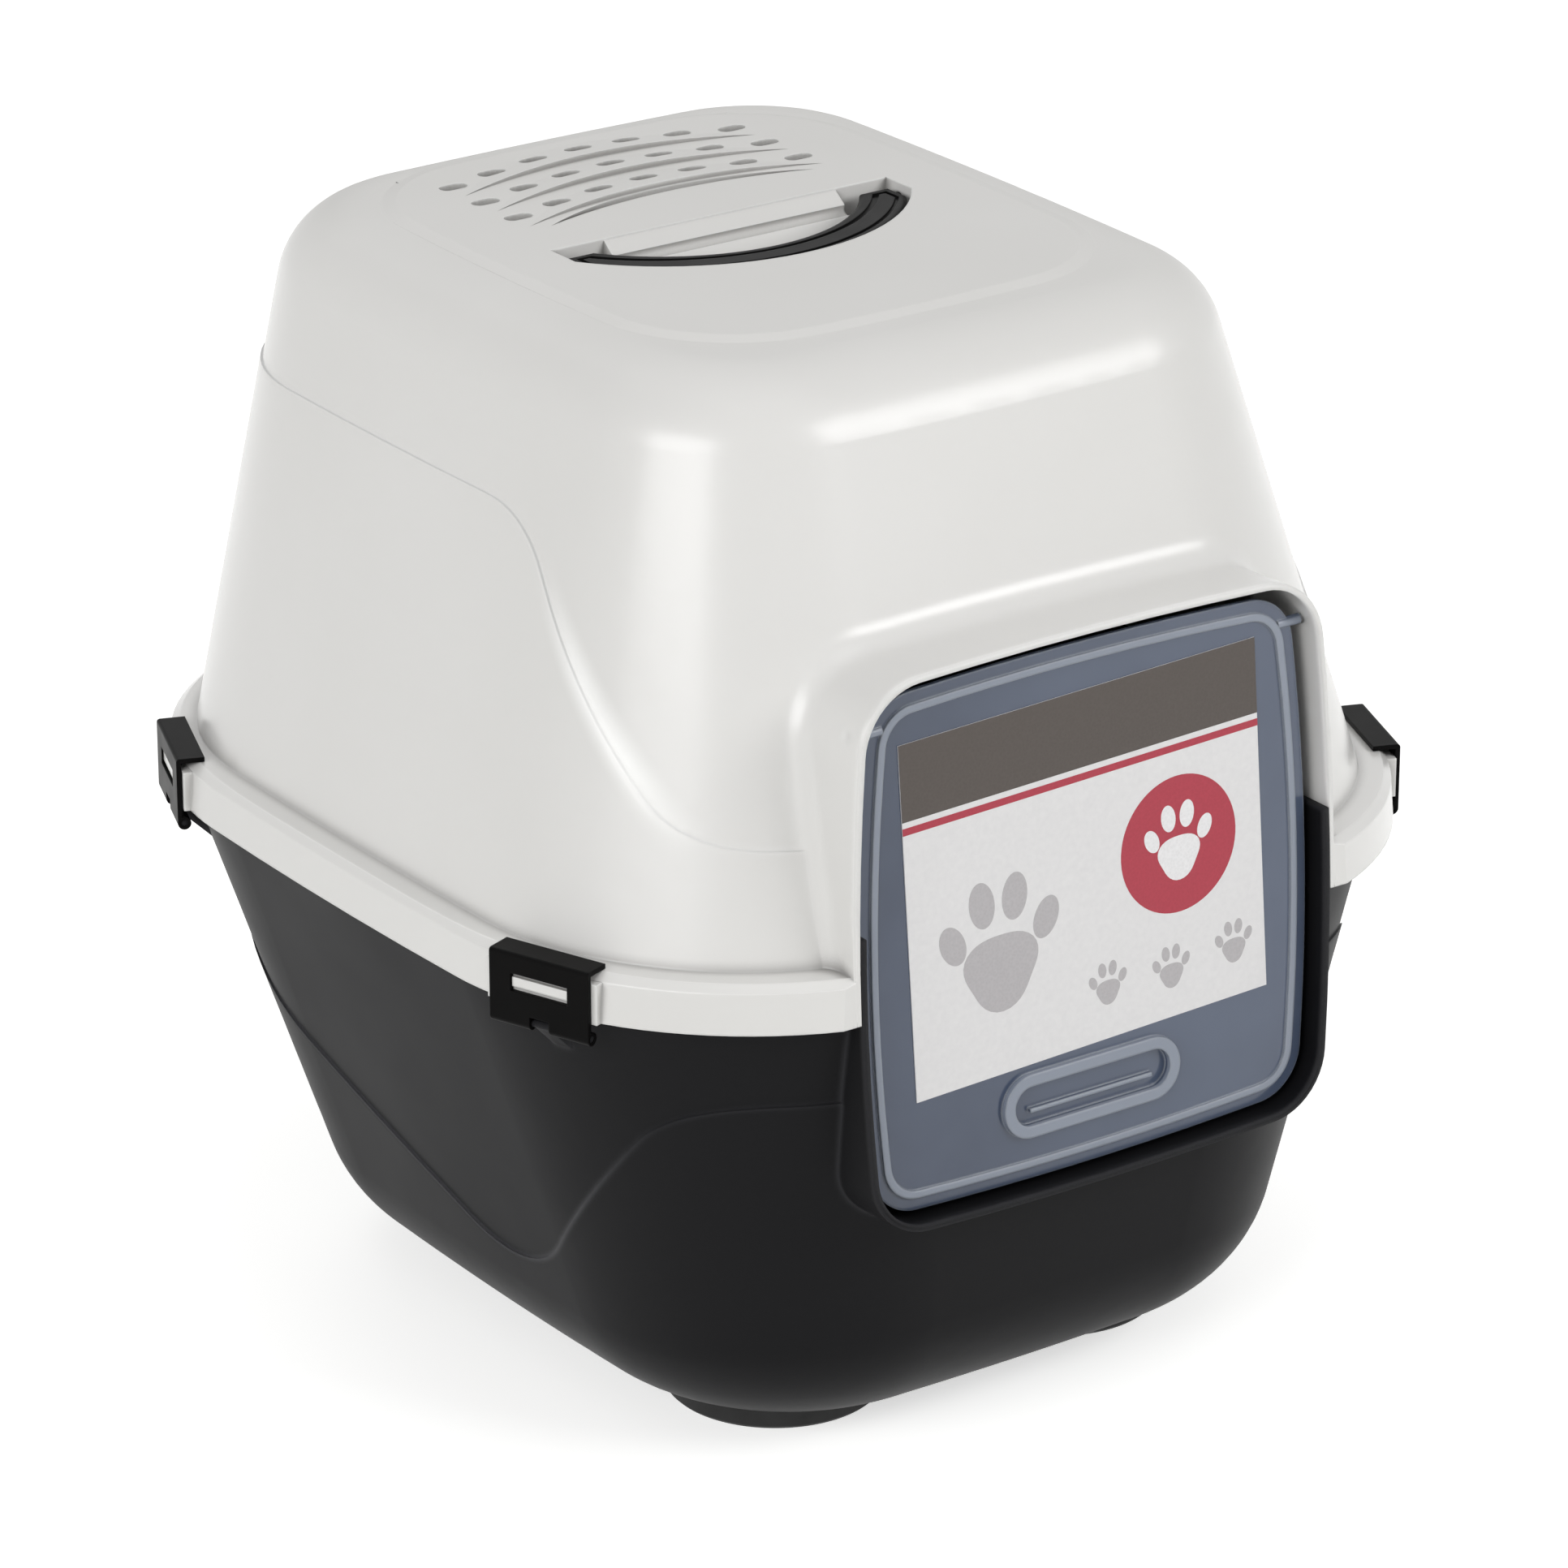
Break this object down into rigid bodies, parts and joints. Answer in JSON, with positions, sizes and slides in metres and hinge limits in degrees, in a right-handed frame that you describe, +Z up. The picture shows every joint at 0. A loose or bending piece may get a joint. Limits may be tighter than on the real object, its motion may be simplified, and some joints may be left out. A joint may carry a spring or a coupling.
{
  "type": "cat litter box with hood",
  "caption": "Hooded cat litter box: dark pan, white clip-on hood with swing door, fold-down carry handle, louvred vents over a filter, and side latches.",
  "frame": {"origin": "on the floor under the middle of the box", "axes": "+Z up, -Y towards the door, +X to the right of someone facing the door"},
  "size_m": [0.4418, 0.4619, 0.4582],
  "materials": {
    "hood_plastic": "gloss",
    "pan_plastic": "matte",
    "trim_plastic": "satin",
    "door_plastic": "translucent gloss",
    "label_card": "matte",
    "foot_rubber": "matte",
    "carbon_felt": "matte"
  },
  "bodies": {
    "box": {"pan": "pan_plastic", "hood": "hood_plastic", "foot_front_left": "foot_rubber", "foot_front_right": "foot_rubber", "foot_rear_left": "foot_rubber", "foot_rear_right": "foot_rubber"},
    "door": {"door_flap": "door_plastic", "label_card": "label_card"},
    "handle": {"carry_handle": "trim_plastic"},
    "filter": {"filter_frame": "trim_plastic", "carbon_filter": "carbon_felt"},
    "latch_front_left": {"latch_front_left": "trim_plastic"},
    "latch_front_right": {"latch_front_right": "trim_plastic"},
    "latch_rear_left": {"latch_rear_left": "trim_plastic"},
    "latch_rear_right": {"latch_rear_right": "trim_plastic"}
  },
  "joints": [
    {"name": "door_swing", "type": "hinge", "parent": "box", "child": "door", "pos_m": [0, -0.20989, 0.33078], "axis": [1, 0, 0], "range_deg": [-80, 75]},
    {"name": "handle_lift", "type": "hinge", "parent": "box", "child": "handle", "pos_m": [0, 0.027, 0.44915], "axis": [-1, 0, 0], "range_deg": [0, 95]},
    {"name": "filter_drop", "type": "hinge", "parent": "box", "child": "filter", "pos_m": [0, 0.1565, 0.4385], "axis": [1, 0, 0], "range_deg": [0, 75]},
    {"name": "latch_front_left_turn", "type": "hinge", "parent": "box", "child": "latch_front_left", "pos_m": [-0.20962, -0.14199, 0.2105], "axis": [0.3584, -0.9336, 0], "range_deg": [0, 100]},
    {"name": "latch_front_right_turn", "type": "hinge", "parent": "box", "child": "latch_front_right", "pos_m": [0.20962, -0.14199, 0.2105], "axis": [0.3584, 0.9336, 0], "range_deg": [0, 100]},
    {"name": "latch_rear_left_turn", "type": "hinge", "parent": "box", "child": "latch_rear_left", "pos_m": [-0.20962, 0.13599, 0.2105], "axis": [-0.3584, -0.9336, 0], "range_deg": [0, 100]},
    {"name": "latch_rear_right_turn", "type": "hinge", "parent": "box", "child": "latch_rear_right", "pos_m": [0.20962, 0.13599, 0.2105], "axis": [-0.3584, 0.9336, 0], "range_deg": [0, 100]}
  ]
}
